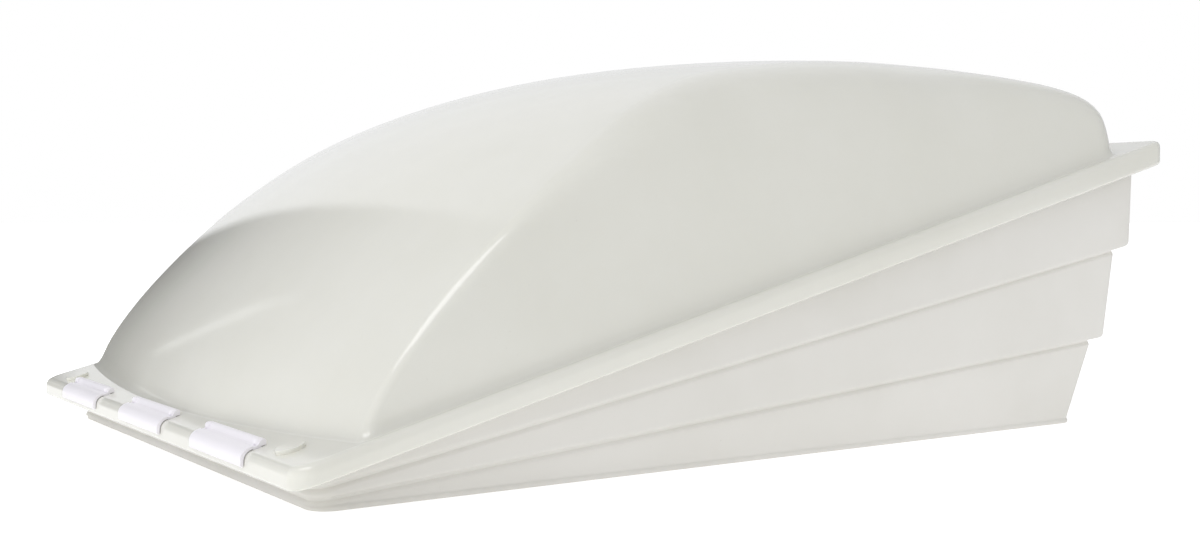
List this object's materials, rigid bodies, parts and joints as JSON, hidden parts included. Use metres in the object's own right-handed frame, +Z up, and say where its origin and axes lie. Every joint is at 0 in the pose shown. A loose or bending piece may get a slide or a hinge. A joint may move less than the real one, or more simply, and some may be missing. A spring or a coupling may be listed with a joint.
{
  "type": "roof vent cover",
  "caption": "Wedge-shaped caravan roof vent cover: tiered louvred base with a glossy domed lid hinged along its low front edge.",
  "frame": {"origin": "centre of the closed cover's footprint box, on the roof surface", "axes": "+X to the cover's right, +Y from the low hinged front to the louvred rear, +Z up"},
  "size_m": [0.49, 0.6782, 0.2638],
  "materials": {
    "lid": "glossy translucent white",
    "base": "satin white",
    "grille": "satin white",
    "clip": "bright satin white",
    "knob": "satin white",
    "steel": "stainless steel",
    "brass": "turned",
    "screen": "coated glass-fibre insect mesh"
  },
  "bodies": {
    "base": {"base_shell": "base", "hinge_rod": "steel", "threaded_insert_left": "brass", "threaded_insert_right": "brass", "rear_grille_lower": "grille", "insect_screen_lower": "screen", "screen_frame_lower": "grille", "grille_screw_lower_left": "steel", "grille_screw_lower_right": "steel", "rear_grille_middle": "grille", "insect_screen_middle": "screen", "screen_frame_middle": "grille", "grille_screw_middle_left": "steel", "grille_screw_middle_right": "steel", "rear_grille_upper": "grille", "insect_screen_upper": "screen", "screen_frame_upper": "grille", "grille_screw_upper_left": "steel", "grille_screw_upper_right": "steel", "mounting_bracket_front_left": "steel", "curb_screw_front_left": "steel", "bracket_bolt_front_left": "steel", "bolt_washer_front_left": "steel", "wing_nut_front_left": "steel", "mounting_bracket_front_right": "steel", "curb_screw_front_right": "steel", "bracket_bolt_front_right": "steel", "bolt_washer_front_right": "steel", "wing_nut_front_right": "steel", "mounting_bracket_rear_left": "steel", "curb_screw_rear_left": "steel", "bracket_bolt_rear_left": "steel", "bolt_washer_rear_left": "steel", "wing_nut_rear_left": "steel", "mounting_bracket_rear_right": "steel", "curb_screw_rear_right": "steel", "bracket_bolt_rear_right": "steel", "bolt_washer_rear_right": "steel", "wing_nut_rear_right": "steel"},
    "lid": {"lid_dome": "lid", "hinge_clip_left": "clip", "hinge_clip_middle": "clip", "hinge_clip_right": "clip"},
    "thumb_screw_left": {"thumb_screw_left": "knob"},
    "thumb_screw_right": {"thumb_screw_right": "knob"}
  },
  "joints": [
    {"name": "lid_hinge", "type": "hinge", "parent": "base", "child": "lid", "pos_m": [0, -0.3285, 0.021], "axis": [1, 0, 0], "range_deg": [0, 90]},
    {"name": "thumb_screw_left_turn", "type": "hinge", "parent": "lid", "child": "thumb_screw_left", "pos_m": [-0.12, 0.323, 0.20191], "axis": [0, -0.2554, 0.9668], "continuous": true},
    {"name": "thumb_screw_right_turn", "type": "hinge", "parent": "lid", "child": "thumb_screw_right", "pos_m": [0.12, 0.323, 0.20191], "axis": [0, -0.2554, 0.9668], "continuous": true}
  ]
}
